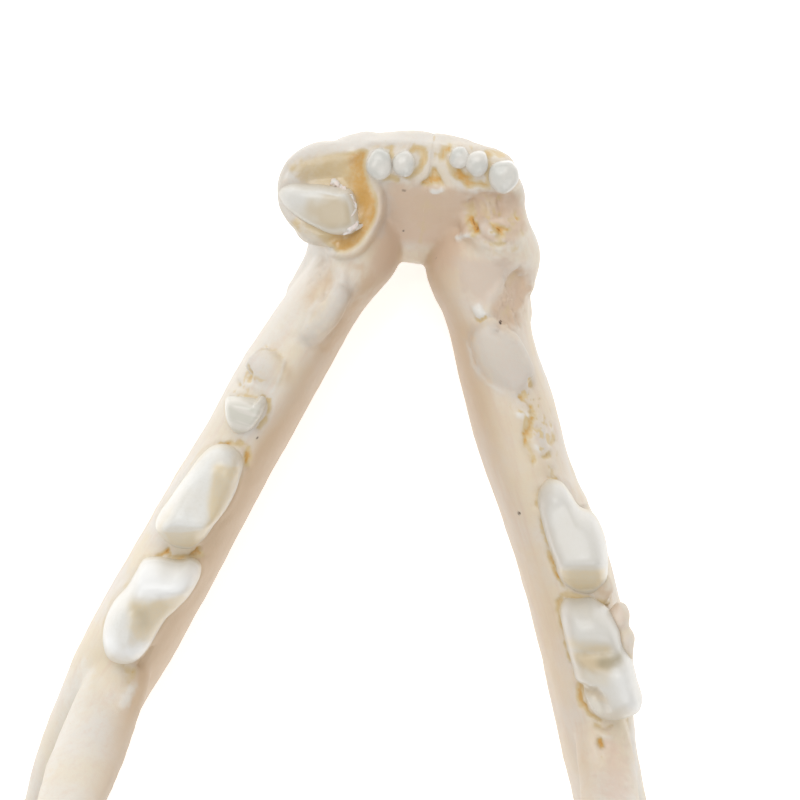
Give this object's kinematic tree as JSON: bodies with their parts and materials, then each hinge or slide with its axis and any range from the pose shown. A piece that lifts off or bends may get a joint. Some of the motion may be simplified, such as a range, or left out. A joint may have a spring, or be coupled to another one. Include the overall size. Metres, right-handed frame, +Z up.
{
  "type": "cat lower jaw",
  "caption": "Dry lower jaw of a domestic cat in two halves joined at the chin, with worn, broken and lost teeth, lying on its lower border.",
  "frame": {"origin": "centre of the underside of the jaw's box, on the surface that it rests on", "axes": "+Z up, +Y towards the jaw joints, -Y towards the chin and incisors, +X towards the animal's left"},
  "size_m": [0.0504, 0.0561, 0.0268],
  "materials": {
    "bone": "dry ivory bone, satin, with tan pits and pores",
    "tooth": "glossy cream enamel",
    "dentine": "honey-coloured, waxy"
  },
  "bodies": {
    "root": {"mandible_left": "bone", "mandible_right": "bone"}
  },
  "joints": []
}
